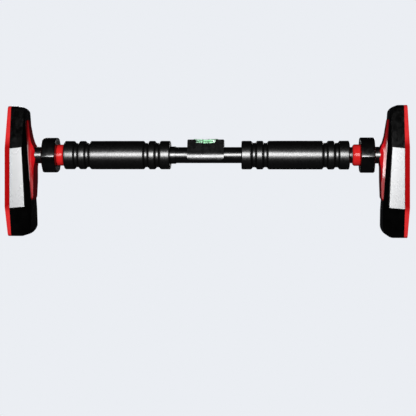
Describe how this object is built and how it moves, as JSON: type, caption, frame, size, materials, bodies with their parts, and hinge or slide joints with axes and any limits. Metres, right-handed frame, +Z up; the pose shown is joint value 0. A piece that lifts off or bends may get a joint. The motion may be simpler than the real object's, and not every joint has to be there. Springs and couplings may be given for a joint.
{
  "type": "pull up bar",
  "caption": "Doorway pull-up bar: telescoping steel tube with ribbed foam grips, a bubble level, hexagonal jack nuts and swivelling rubber-faced wall pads.",
  "frame": {"origin": "on the bar's axis, midway along the bubble level", "axes": "+X along the bar to the right-hand end, +Y to the back, +Z up, the side the level is on"},
  "size_m": [0.722, 0.0708, 0.236],
  "materials": {
    "tube_black": "gloss",
    "foam": "satin",
    "bush_plastic": "satin",
    "zinc_steel": "satin",
    "nylon": "satin",
    "level_black": "gloss",
    "vial_clear": "gloss",
    "vial_fluid": "gloss",
    "vial_plug": "satin",
    "knob_black": "gloss",
    "ring_red": "gloss",
    "washer_brass": "satin",
    "housing_black": "gloss",
    "cover_red": "gloss",
    "plate_silver": "satin",
    "rubber_red": "satin"
  },
  "bodies": {
    "inner_bar": {"inner_tube": "tube_black", "right_grip": "foam", "right_end_bush": "bush_plastic", "lock_core": "zinc_steel", "lock_sleeve": "nylon", "level_body": "level_black", "level_vial": "vial_clear", "level_fluid": "vial_fluid", "level_plugs": "vial_plug"},
    "outer_bar": {"outer_tube": "tube_black", "left_grip": "foam", "left_end_bush": "bush_plastic"},
    "right_handnut": {"right_knob": "knob_black", "right_knob_ring": "ring_red", "right_knob_nut": "zinc_steel"},
    "left_handnut": {"left_knob": "knob_black", "left_knob_ring": "ring_red", "left_knob_nut": "zinc_steel"},
    "right_spindle": {"right_stud": "zinc_steel", "right_neck": "tube_black"},
    "left_spindle": {"left_stud": "zinc_steel", "left_neck": "tube_black"},
    "right_pad": {"right_hub_bush": "nylon", "right_washer": "washer_brass", "right_base": "zinc_steel", "right_housing": "housing_black", "right_cover": "cover_red", "right_plate_front": "plate_silver", "right_plate_back": "plate_silver", "right_screws": "zinc_steel", "right_rubber": "rubber_red"},
    "left_pad": {"left_hub_bush": "nylon", "left_washer": "washer_brass", "left_base": "zinc_steel", "left_housing": "housing_black", "left_cover": "cover_red", "left_plate_front": "plate_silver", "left_plate_back": "plate_silver", "left_screws": "zinc_steel", "left_rubber": "rubber_red"}
  },
  "joints": [
    {"name": "tube_extend", "type": "slide", "parent": "inner_bar", "child": "outer_bar", "axis": [-1, 0, 0], "range_m": [0, 0.06]},
    {"name": "right_nut_turn", "type": "hinge", "parent": "inner_bar", "child": "right_handnut", "pos_m": [0.28, 0, 0], "axis": [1, 0, 0], "range_deg": [-360.5, 2520.5]},
    {"name": "right_stud_slide", "type": "slide", "parent": "inner_bar", "child": "right_spindle", "axis": [1, 0, 0], "range_m": [-0.005, 0.035]},
    {"name": "right_pad_swivel", "type": "hinge", "parent": "right_spindle", "child": "right_pad", "pos_m": [0.34, 0, 0], "axis": [1, 0, 0], "continuous": true},
    {"name": "left_nut_turn", "type": "hinge", "parent": "outer_bar", "child": "left_handnut", "pos_m": [-0.28, 0, 0], "axis": [-1, 0, 0], "range_deg": [-360.5, 2520.5]},
    {"name": "left_stud_slide", "type": "slide", "parent": "outer_bar", "child": "left_spindle", "axis": [-1, 0, 0], "range_m": [-0.005, 0.035]},
    {"name": "left_pad_swivel", "type": "hinge", "parent": "left_spindle", "child": "left_pad", "pos_m": [-0.34, 0, 0], "axis": [-1, 0, 0], "continuous": true}
  ],
  "couplings": [
    {"joint": "right_nut_turn", "follows": "right_stud_slide", "rad_per_m": 1256.6},
    {"joint": "left_nut_turn", "follows": "left_stud_slide", "rad_per_m": 1256.6}
  ]
}
